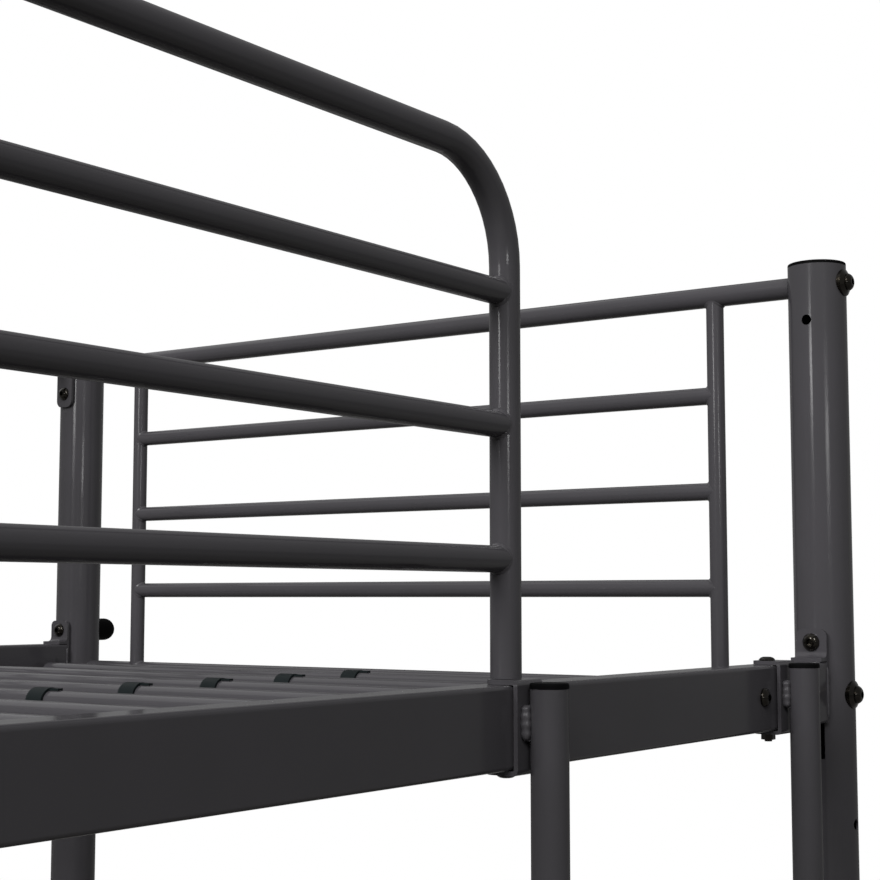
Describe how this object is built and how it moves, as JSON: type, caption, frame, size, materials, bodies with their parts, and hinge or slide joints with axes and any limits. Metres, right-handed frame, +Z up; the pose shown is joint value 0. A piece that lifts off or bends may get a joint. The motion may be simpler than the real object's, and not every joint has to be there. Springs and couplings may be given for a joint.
{
  "type": "bunk bed",
  "caption": "Round-tube metal bunk bed: two slatted single beds between tall posts, barred ends, guard rails round the upper bed and a straight ladder bolted to the front rails.",
  "frame": {"origin": "on the floor, at the middle of the bounding box in plan", "axes": "+X along the bed towards the ladder's end, +Y across the bed away from the ladder, +Z up"},
  "size_m": [2.1486, 1.019, 1.599],
  "materials": {
    "powder_coated_steel": "dark grey semi-gloss powder coat with a fine orange-peel skin",
    "black_zinc_steel": "black zinc plating, smooth and a little glossy",
    "bare_steel": "plain zinc plating, hidden inside the tubes",
    "black_plastic": "moulded black plastic with a fine grain",
    "saddle_plastic": "moulded black-green plastic, satin"
  },
  "bodies": {
    "root": {"beam_bolts": "black_zinc_steel", "centre_beam_hangers": "powder_coated_steel", "guard_end_tabs": "powder_coated_steel", "guard_leg_bolts": "black_zinc_steel", "guard_leg_inserts": "bare_steel", "guard_rail_back": "powder_coated_steel", "guard_rail_front": "powder_coated_steel", "guard_tab_bolts": "black_zinc_steel", "ladder_clip_bolts": "black_zinc_steel", "ladder_clips_left": "powder_coated_steel", "ladder_clips_right": "powder_coated_steel", "ladder_feet": "black_plastic", "ladder_rung_1": "powder_coated_steel", "ladder_rung_2": "powder_coated_steel", "ladder_rung_3": "powder_coated_steel", "ladder_rung_4": "powder_coated_steel", "ladder_rung_5": "powder_coated_steel", "ladder_stile_caps": "black_plastic", "ladder_stile_left": "powder_coated_steel", "ladder_stile_right": "powder_coated_steel", "large_nuts": "black_zinc_steel", "ledge_bolts": "black_zinc_steel", "lower_centre_beam": "powder_coated_steel", "lower_end_panel_left": "powder_coated_steel", "lower_end_panel_right": "powder_coated_steel", "lower_post_back_left": "powder_coated_steel", "lower_post_back_right": "powder_coated_steel", "lower_post_front_left": "powder_coated_steel", "lower_post_front_right": "powder_coated_steel", "lower_rail_brackets_back": "powder_coated_steel", "lower_rail_brackets_front": "powder_coated_steel", "lower_side_rail_back": "powder_coated_steel", "lower_side_rail_front": "powder_coated_steel", "lower_slat_ledges": "powder_coated_steel", "lower_slat_saddles": "saddle_plastic", "lower_slats": "powder_coated_steel", "panel_bar_inserts": "bare_steel", "panel_bolts": "black_zinc_steel", "panel_washers": "black_zinc_steel", "post_feet": "black_plastic", "post_joint_sleeves": "bare_steel", "post_top_caps": "black_plastic", "rail_bolt_knobs": "black_plastic", "rail_bracket_bolts": "black_zinc_steel", "small_nuts": "black_zinc_steel", "upper_centre_beam": "powder_coated_steel", "upper_end_panel_left": "powder_coated_steel", "upper_end_panel_right": "powder_coated_steel", "upper_post_back_left": "powder_coated_steel", "upper_post_back_right": "powder_coated_steel", "upper_post_front_left": "powder_coated_steel", "upper_post_front_right": "powder_coated_steel", "upper_rail_brackets_back": "powder_coated_steel", "upper_rail_brackets_front": "powder_coated_steel", "upper_side_rail_back": "powder_coated_steel", "upper_side_rail_front": "powder_coated_steel", "upper_slat_ledges": "powder_coated_steel", "upper_slat_saddles": "saddle_plastic", "upper_slats": "powder_coated_steel"}
  },
  "joints": []
}
